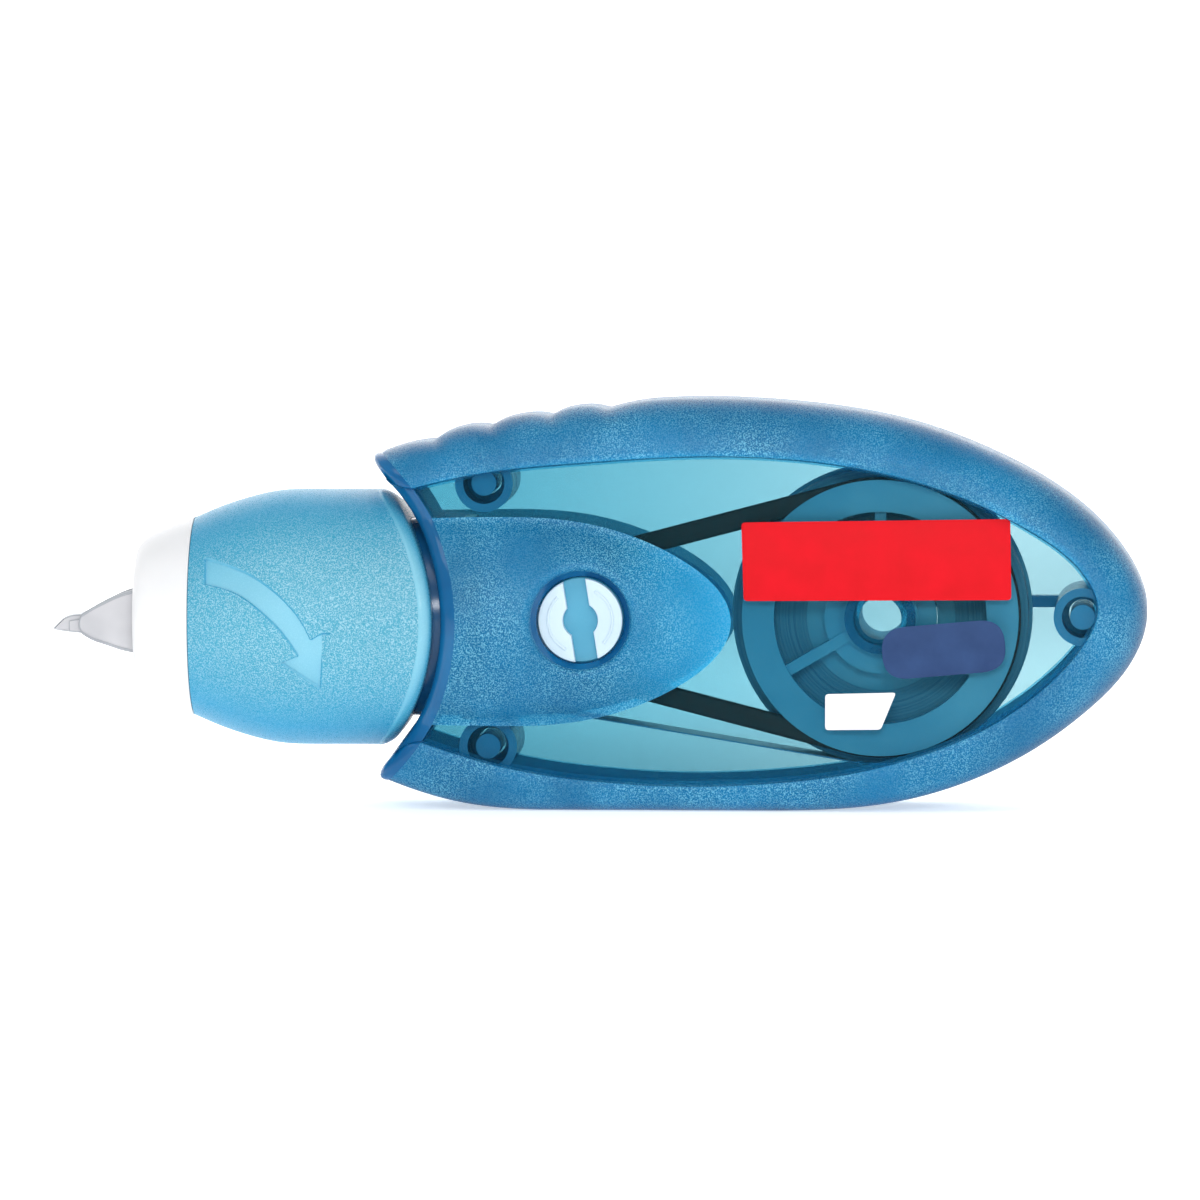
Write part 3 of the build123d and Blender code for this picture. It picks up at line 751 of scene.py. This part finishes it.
def edge_of_tape(name):
    """Edge of the tape: pale at the tip, blue where it runs inside the tinted case."""
    t = Tree(name)
    streak = t.noise(900.0, 3.0)
    tone = t.ramp(t.along_x(-40, -30), (0.0, linear(206, 210, 216)), (1.0, linear(120, 208, 255)))
    shade = t.ramp(streak, (0.3, grey(0.8)), (0.7, grey(1.0)))
    body = t.shader(Base_Color=t.tint(1.0, tone, shade, "MULTIPLY"), Roughness=0.4)
    return t.done(body.outputs[0])


# deep and mid tones, painted glint colour, and the tint seen through
frost_look = ((0, 108, 156), (4, 126, 178), (128, 214, 242), (110, 200, 228))
frost = frosted_blue("frosted_blue_plastic", 0.78, *frost_look)
# the tongue's pale tip is painted light
tongue_frost = frosted_blue("frosted_blue_tongue", 0.78, *frost_look, pale=(20, 170, 224))
frost_inside = frosted_blue("frosted_blue_inside", 0.30, (0, 146, 200), (20, 168, 220),
                            (90, 196, 236), (130, 208, 230), rim=(1.0, 1.0, 1.0, 1))
window = clear_blue("polished_blue_window", (177, 212, 220), (215, 229, 232), 0.02)
# the first colour of each is painted shade, the second the lit face, the third a painted glint
cap_rough = textured_blue("textured_light_blue", (20, 150, 194), (78, 168, 197), (196, 232, 240), 1.0)
cap_smooth = textured_blue("smooth_light_blue", (84, 176, 210), (136, 202, 224), (130, 205, 230), 0.0)
nose_white = plain_plastic("matt_white_plastic", (238, 239, 241), (230, 232, 235))
white_part = plain_plastic("white_moulding", (214, 233, 245), (204, 226, 240))
crescent_white = plain_plastic("crescent_white", (204, 226, 240), (194, 219, 235))
spool_blue = plain_plastic("spool_blue", (84, 172, 202), (66, 158, 190))
neck_blue = tinted_plastic("neck_blue_plastic", (22, 100, 150), (14, 82, 130), (120, 200, 230), 0.85)
boss_blue = tinted_plastic("boss_blue_plastic", (62, 168, 218), (48, 148, 200), (110, 190, 220), 0.7)
reel_teal = tinted_plastic("reel_teal_plastic", (142, 226, 255), (120, 214, 250),
                           (130, 215, 232), 0.9)
rim_teal = tinted_plastic("flange_teal_plastic", (150, 226, 250), (130, 216, 244),
                          (150, 215, 230), 0.85)
tip_clear = tinted_plastic("tip_natural_plastic", (212, 212, 216), (194, 195, 200),
                           (228, 230, 233), 0.94, 0.35)
# painted shade: darker grey on the rounded sides and rails of the tip, to outline its edges
tip_edge_painted_shade = tinted_plastic("tip_edge_plastic", (176, 180, 186), (164, 168, 175),
                          (200, 203, 208), 0.95, 0.3)
mouth_blue = tinted_plastic("mouth_blue_plastic", (10, 112, 168), (0, 92, 148),
                            (100, 190, 225), 0.8, 0.12)
shell_materials = [frost, window, frost_inside, boss_blue, mouth_blue, tongue_frost]
belt_black = matt("belt_rubber", (76, 44, 40), (44, 26, 24), 1800.0, (0.5, 0.72), 0.3)
# painted shade: the white tape is coloured a dark blue, as it looks in shade behind the blue shell
white_tape_painted_shade = wound_tape("wound_white_tape_painted_shade", (112, 180, 206), (84, 154, 184), supply_x, supply_z)
tape_used = wound_tape("wound_backing_tape", (190, 205, 215), (165, 185, 200), take_x, take_z)
tape_strip = matt("tape_surface", (236, 240, 243), (222, 228, 233), 400.0, (0.35, 0.5), 0.1)
tape_backing = matt("backing_surface", (214, 222, 230), (196, 206, 218), 400.0, (0.3, 0.45), 0.1)
tape_edge = edge_of_tape("tape_edge")
ink_red = matt("red_ink", (222, 14, 30), (212, 10, 24), 400.0, (0.55, 0.65), 0.1, 0.15)
ink_blue = matt("dark_blue_ink", (52, 78, 124), (42, 66, 110), 400.0, (0.55, 0.65), 0.1, 0.15)
ink_white = matt("white_ink", (250, 250, 250), (242, 243, 245), 400.0, (0.55, 0.65), 0.1, 0.15)


def paint(node, material):
    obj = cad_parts[node]
    obj.data.materials.clear()
    obj.data.materials.append(material)


paint("neck", neck_blue)
paint("drive_pulley", reel_teal)
paint("clutch_spring", white_part)
paint("supply_spool", rim_teal)
paint("supply_tape", white_tape_painted_shade)
paint("reel_retainer", white_part)
for node in ("take_up_pulley", "take_up_flange"):
    paint(node, white_part)
paint("take_up_tape", tape_used)


# --- the two shells --------------------------------------------------------------------------
def near_shell():
    mesh = Mesh()
    shell_half(mesh, -1)
    for x, z in bosses:
        wall = [(1.75, -5.7), (2.45, -5.7), (2.45, -0.15), (2.3, 0.0), (1.75, 0.0), (1.75, -5.7)]
        add_tube(mesh, x, z, wall, BOSS)
        add_tube(mesh, x, z, [(1.05, -5.7), (1.05, 2.7), (0.9, 3.0)], BOSS, 32)
    collar = [(3.02, -5.8), (3.02, -5.35), (2.27, -5.35), (2.27, -5.8), (3.02, -5.8)]
    add_tube(mesh, supply_x, supply_z, collar, INNER)
    return put(mesh.make("near_shell_visual", shell_materials), "case", "near_shell")


def far_shell():
    mesh = Mesh()
    shell_half(mesh, 1)
    for x, z in bosses:
        socket = [(1.2, 3.2), (1.2, 0.0), (2.3, 0.0), (2.45, 0.15), (2.45, 5.8), (1.2, 5.8)]
        socket.append(socket[0])
        add_tube(mesh, x, z, socket, BOSS)
    axle = [(1.8, 5.6), (1.8, -5.6), (2.1, -5.6), (2.27, -5.45), (2.27, 4.98)]
    axle += [(3.4, 5.05), (3.5, 5.8), (1.8, 5.8), (1.8, 5.6)]
    add_tube(mesh, supply_x, supply_z, axle, INNER)
    post = [(1.5, -5.9), (1.5, 4.1), (2.7, 4.3), (2.7, 9.1)]
    add_tube(mesh, take_x, take_z, post, INNER)
    web = [(supply_x + 3.3, 16.75), (39.2, 16.75), (39.2, 17.75), (supply_x + 3.3, 17.75)]
    add_plate(mesh, np.array(web), 4.1, 5.8, 0.1, BOSS)
    return put(mesh.make("far_shell_visual", shell_materials), "case", "far_shell")


near_shell()
far_shell()


# --- twist cap -------------------------------------------------------------------------------
cap_fine = spline(cap_line, 800)
arrow_loop = np.concatenate([spline(arrow_upper, 30), arrow_head, spline(arrow_lower, 30)])


def cap_radius(x):
    return np.interp(x, cap_fine[:, 0], cap_fine[:, 1])


def saddle(radius, turn):
    """X of the cap's rear face at a radius, at an angle about the cap axis."""
    return mouth_x + np.sqrt(cap_saddle_r ** 2 - (radius * np.sin(turn)) ** 2)


def twist_cap():
    mesh = Mesh()
    # angle 0 looks at the near side; the arrow needs a fine patch of the surface
    fine = np.radians(np.arange(-39, 39, 0.42))
    coarse = np.radians(np.arange(39, 321, 2.5))
    turn = np.concatenate([fine, coarse])
    xs = np.concatenate([[cap_front + 0.05], np.arange(cap_front + 0.15, -22.9, 0.085)])
    x = np.repeat(xs[:, None], len(turn), axis=1)
    a = np.repeat(turn[None], len(xs), axis=0)
    rows = []
    radius = cap_radius(x)
    flat = np.stack([x, axis_z + radius * np.sin(a)], axis=2)
    near = np.cos(a) > 0.3
    deep = np.ones(x.shape)
    points = flat[near]
    gap = distance_to(points, arrow_loop)
    # vertices beside the edge and the foot of the arrow are moved onto them
    nudge = 0.001
    slope = np.stack([distance_to(points + (nudge, 0), arrow_loop) - gap,
                      distance_to(points + (0, nudge), arrow_loop) - gap], axis=1) / nudge
    for level in (0.0, -arrow_slope):
        close = np.abs(gap - level) < 0.05
        points[close] -= (gap[close] - level)[:, None] * slope[close]
        gap[close] = level
    x[near] = points[:, 0]
    radius = cap_radius(x)
    a[near] = np.arcsin((points[:, 1] - axis_z) / radius[near])
    deep[near] = gap
    radius = radius - arrow_depth * np.clip(-deep / arrow_slope, 0, 1)
    first = np.array([cap_front + 0 * turn, -8.33 * np.cos(turn), axis_z + 8.33 * np.sin(turn)])
    rows.append(mesh.add(first.T))
    for i in range(len(xs)):
        ring = [x[i], -radius[i] * np.cos(a[i]), axis_z + radius[i] * np.sin(a[i])]
        rows.append(mesh.add(np.stack(ring, axis=1)))

    def in_arrow(i, j):
        """Slot of a face of the turned surface: 1 in the arrow, 0 beside it."""
        if i == 0 or i >= len(xs):
            return 0
        k = (j + 1) % len(turn)
        return 1 if max(deep[i - 1, j], deep[i - 1, k], deep[i, j], deep[i, k]) <= 0 else 0

    def ring_at(back, r):
        place = back if np.ndim(back) else back + 0 * turn
        return mesh.add(np.stack([place, -r * np.cos(turn), axis_z + r * np.sin(turn)], axis=1))

    seam = saddle(cap_r, turn) - cap_band
    for share in np.linspace(0, 1, 12)[1:]:
        rows.append(ring_at(xs[-1] + (seam - 0.06 - xs[-1]) * share, cap_r))
    split = len(rows) - 1
    # a fine step, then the smooth band that rolls over into the rear face
    for t in np.linspace(0.12, math.pi / 2, 9):
        r = cap_r + 0.06 - 0.88 * (1 - math.cos(t))
        rows.append(ring_at(saddle(r, turn) - cap_band * (1 - math.sin(t)), r))
    for r in (9.6, 9.0, 8.55):
        rows.append(ring_at(saddle(r, turn), r))
    rows.append(ring_at(saddle(8.45, turn) - 0.1, 8.45))
    for back, r in ((-31.2, 8.45), (-31.2, 6.7), (-32.35, 6.7), (-32.35, 8.0), (-33.65, 8.0),
                    (-33.65, 7.2), (cap_front, 7.2)):
        rows.append(ring_at(back, r))
    rows.append(rows[0])
    mesh.grid(rows, lambda i, j: in_arrow(i, j) if i < split else 1, closed=True)
    for sign in (-1, 1):
        pin = [(0.85, sign * 7.65), (0.95, sign * 7.75), (0.95, sign * 9.0)]
        add_tube(mesh, pin_x, axis_z, pin, 1, 32)
    return put(mesh.make("twist_cap_visual", [cap_rough, cap_smooth]), "cap", "twist_cap")


twist_cap()


# --- nose sleeve and applicator tip ----------------------------------------------------------
def nose_sleeve():
    mesh = Mesh()
    front = spline([(-39.5, 5.3), (-39.42, 5.75), (-39.0, 6.4), (-38.2, 6.95), (-37.0, 7.5),
                    (-35.8, 7.99), (-34.6, 8.47)], 22)
    shape = [(-39.35, 4.75), (-39.5, 4.9)] + [tuple(p) for p in front]
    shape += [(-34.57, 8.45), (-34.57, 7.15), (-33.6, 7.15), (-33.6, 7.9), (-32.4, 7.9), (-32.4, 6.6)]
    shape += [(-27.1, 6.6), (-27.0, 6.5), (-27.0, 5.95), (-38.75, 5.95), (-38.75, 4.75)]
    add_turned(mesh, shape, 0, 128)
    return put(mesh.make("nose_sleeve_visual", [nose_white]), "nose", "nose_sleeve")


def applicator_tip():
    mesh = Mesh()
    nib = [(-46.38, 15.08), (-45.55, 15.9), (-44.95, 16.14), (-44.1, 16.22), (-36.5, 16.7)]
    nib += [(-36.5, 14.5), (-43.7, 14.78), (-45.3, 14.93)]
    add_plate(mesh, soften(nib, 0.08, 4), -2.46, 2.46, 0.03)
    # collar across the blade, behind the nib
    step = [(-45.15, 14.86), (-44.05, 14.75), (-44.05, 15.95), (-45.15, 15.75)]
    # its rounded sides get the darker grey of painted edge shade
    add_plate(mesh, soften(step, 0.1), -2.66, 2.66, 0.08, side=1)
    top = spline([(-44.0, 16.38), (-43.3, 16.82), (-41.9, 17.55), (-40.8, 18.05), (-39.6, 18.4),
                  (-36.5, 18.7)], 24)
    low = spline([(-36.5, 12.8), (-39.6, 13.06), (-40.8, 13.32), (-41.9, 13.7), (-43.1, 14.1),
                  (-44.0, 14.62)], 24)
    lead = spline([(-44.0, 14.62), (-44.22, 15.1), (-44.28, 15.55), (-44.2, 16.0),
                   (-44.0, 16.38)], 9)
    wing = np.concatenate([top, low, lead[1:-1]])
    for sign in (-1, 1):
        near, far = sorted((sign * 2.5, sign * 3.15))
        # the rounded sides, and the rails below, get the darker grey of painted edge shade
        add_plate(mesh, wing, near, far, 0.14, side=1)
        # thin rail along both long edges of the wing
        for line in (top[:-4] - (0.0, 0.2), low[4:] + (0.0, 0.2)):
            add_strip(mesh, line, 0.16, 0.06, 1, 1, middle=sign * 3.14)
    add_turned(mesh, [(-38.2, 3.4), (-38.2, 5.1), (-38.0, 5.28), (-34.5, 5.28), (-34.5, 3.4)], 0, 64)
    return put(mesh.make("applicator_tip_visual", [tip_clear, tip_edge_painted_shade]), "case", "applicator_tip")


nose_sleeve()
applicator_tip()


# --- tape, belt and print --------------------------------------------------------------------
def touch(cx, cz, r, p, side):
    """Where a line from p touches a circle."""
    dx, dz = p[0] - cx, p[1] - cz
    angle = math.atan2(dz, dx) + side * math.acos(r / math.hypot(dx, dz))
    return (cx + r * math.cos(angle), cz + r * math.sin(angle))


def fresh_tape():
    mesh = Mesh()
    under_nib = (-45.3, 14.86)
    leave = touch(supply_x, supply_z, 12.6, under_nib, 1)
    path = [leave, (-43.7, 14.71), under_nib, (-46.2, 14.99), (-46.46, 15.07)]
    add_strip(mesh, resample(np.array(path), 160), 0.12, tape_half, side=1, edge=0.03)
    return put(mesh.make("fresh_tape_visual", [tape_strip, tape_edge]), "case", "fresh_tape")


def return_tape():
    mesh = Mesh()
    over_nib = [(-46.46, 15.11), (-46.3, 15.28), (-45.6, 15.97), (-44.95, 16.21), (-44.0, 16.3)]
    leave = touch(take_x, take_z, 3.35, over_nib[-1], -1)
    path = np.array(over_nib + [leave])
    add_strip(mesh, resample(path, 160), 0.1, tape_half, side=1, edge=0.02)
    return put(mesh.make("return_tape_visual", [tape_backing, tape_edge]), "case", "return_tape")


def drive_belt():
    mesh = Mesh()
    r_supply, r_take = 10.15 + belt_thick / 2, 3.8 + belt_thick / 2
    dx, dz = supply_x - take_x, supply_z - take_z
    lean = math.atan2(dz, dx)
    spread = math.acos((r_supply - r_take) / math.hypot(dx, dz))
    big = np.linspace(lean - math.pi + spread, lean + math.pi - spread, 90)
    small = np.linspace(lean + math.pi - spread, lean + math.pi + spread, 50)
    path = np.concatenate([
        np.stack([supply_x + r_supply * np.cos(big), supply_z + r_supply * np.sin(big)], axis=1),
        np.stack([take_x + r_take * np.cos(small), take_z + r_take * np.sin(small)], axis=1)])
    add_strip(mesh, path, belt_thick, belt_half, closed=True, edge=0.3, middle=belt_y)
    return put(mesh.make("drive_belt_visual", [belt_black], sharp=60.0), "case", "drive_belt")


def printed(name, loop, material):
    """Thin layer of ink on the near window."""
    mesh = Mesh()
    add_plate(mesh, loop, -window_y - 0.05, -window_y + 0.005, 0.02, 0, 3)
    return put(mesh.make(name + "_visual", [material]), "case", name)


def arc_points(r, start, end, count):
    turn = np.linspace(start, end, count)
    return np.stack([r * np.cos(turn), r * np.sin(turn)], axis=1)


def leaning(angle):
    """Matrix that turns side-view points by an angle."""
    return np.array([[math.cos(angle), -math.sin(angle)], [math.sin(angle), math.cos(angle)]])


def take_up_spool():
    """Spool whose head shows two white crescents either side of a coin slot."""
    mesh = Mesh()
    spool = [(1.55, -6.2), (1.55, 2.75), (2.9, 2.75), (2.9, -6.6), (3.62, -6.8), (3.62, -7.8)]
    spool += [(3.5, -7.95), (0.0, -7.95), (0.0, -6.2), (1.55, -6.2)]
    add_tube(mesh, take_x, take_z, spool, 1, 96)
    lean = leaning(math.radians(9.0))
    rim_turn = math.pi / 2 - math.asin(slot_half / head_r)
    bore_turn = math.pi / 2 - math.asin(slot_half / head_bore)
    for sign in (-1, 1):
        rim = arc_points(head_r, rim_turn, -rim_turn, 60)
        bore = arc_points(head_bore, -bore_turn, bore_turn, 24)
        crescent = np.concatenate([rim, bore]) * (sign, 1)
        crescent = resample(np.concatenate([crescent, crescent[:1]]), 240)[:-1]
        add_plate(mesh, crescent @ lean.T + (take_x, take_z), -9.1, -7.9, 0.1, 0)
        # raised rib that follows the crescent
        rib = np.concatenate([arc_points(2.85, 0.95, -0.95, 30), arc_points(2.6, -0.95, 0.95, 30)])
        add_plate(mesh, rib * (sign, 1) @ lean.T + (take_x, take_z), -9.18, -9.0, 0.08, 0, 3)
    obj = mesh.make("take_up_spool_visual", [crescent_white, spool_blue])
    return put(obj, "take_up_reel", "take_up_spool")


fresh_tape()
return_tape()
drive_belt()
take_up_spool()
panel = soften([(12.3, 24.5), (35.0, 24.85), (35.1, 18.0), (12.5, 17.85)], 0.35)
printed("red_panel", panel, ink_red)
strip = soften([(19.4, 10.0), (25.4, 10.15), (24.1, 7.0), (19.4, 6.95)], 0.3)
printed("white_strip", strip, ink_white)
pill = soften([(-5.2, -2.2), (5.2, -2.2), (5.2, 2.2), (-5.2, 2.2)], 2.15, 12)
printed("blue_badge", pill @ leaning(0.087).T + (29.4, 13.8), ink_blue)


# --- floor, light and camera -----------------------------------------------------------------
def studio():
    t = Tree("pale_floor")
    cloud = t.noise(6.0, 2.0)
    colour = t.ramp(cloud, (0.3, grey(0.88)), (0.7, grey(0.92)))
    pale = t.done(t.shader(Base_Color=colour, Roughness=0.8, Emission_Color=grey(1.0),
                           Emission_Strength=0.5).outputs[0])
    mesh = Mesh()
    # a floor that sweeps up into a backdrop behind the object
    rows = []
    sweep = [(-900, 0), (0, 0), (500, 0)]
    bend = np.linspace(0.1, math.pi / 2, 14)
    sweep += [(500 + 300 * math.sin(a), 300 - 300 * math.cos(a)) for a in bend]
    sweep += [(800, 1400)]
    for y, z in sweep:
        rows.append(mesh.add([(x, y, z - 0.02) for x in (-1200, -400, 400, 1200)]))
    mesh.grid(rows, 0)
    floor = mesh.make("floor_sweep", [pale])


def lamp(name, place, aim, size, power, spread=180):
    """Soft rectangular lamp; places and sizes are in metres, power in watts."""
    data = bpy.data.lights.new(name, "AREA")
    data.shape = "RECTANGLE"
    data.size, data.size_y = size
    data.energy = power
    data.spread = math.radians(spread)
    obj = bpy.data.objects.new(name, data)
    obj.location = place
    obj.rotation_euler = (Vector(aim) - Vector(place)).to_track_quat("-Z", "Y").to_euler()
    bpy.context.scene.collection.objects.link(obj)


studio()
middle = (0.0, 0.0, 0.0175)
lamp("key", (-0.25, -0.45, 0.75), middle, (0.5, 0.4), 1.1)
lamp("front", (0.05, -0.80, 0.27), middle, (0.30, 0.14), 2.3)
lamp("fill", (0.55, -0.55, 0.35), middle, (0.4, 0.5), 0.5)
lamp("back", (0.0, 0.30, 0.50), (0, 0.9, 0.3), (0.9, 0.3), 5.0)
lamp("floor", (0.0, 0.15, 0.28), (0, 0.15, 0), (0.12, 0.10), 0.08, 50)

world = bpy.data.worlds.new("studio")
world.use_nodes = True
world.node_tree.nodes["Background"].inputs[0].default_value = (1, 1, 1, 1)
world.node_tree.nodes["Background"].inputs[1].default_value = 0.5
bpy.context.scene.world = world
bpy.context.scene.view_settings.view_transform = "Standard"

azimuth, elevation = math.radians(3.0), math.radians(3.4)
distance = 0.9
view_width = 0.1022          # what the picture spans at the middle of the object, in metres
away = Vector((math.sin(azimuth) * math.cos(elevation), -math.cos(azimuth) * math.cos(elevation),
               math.sin(elevation)))
camera = bpy.data.cameras.new("camera")
camera.sensor_width = 36
camera.lens = camera.sensor_width * distance / view_width
camera.clip_end = 10
eye = bpy.data.objects.new("camera", camera)
eye.location = Vector(middle) + away * distance
eye.rotation_euler = (-away).to_track_quat("-Z", "Y").to_euler()
bpy.context.scene.collection.objects.link(eye)
bpy.context.scene.camera = eye
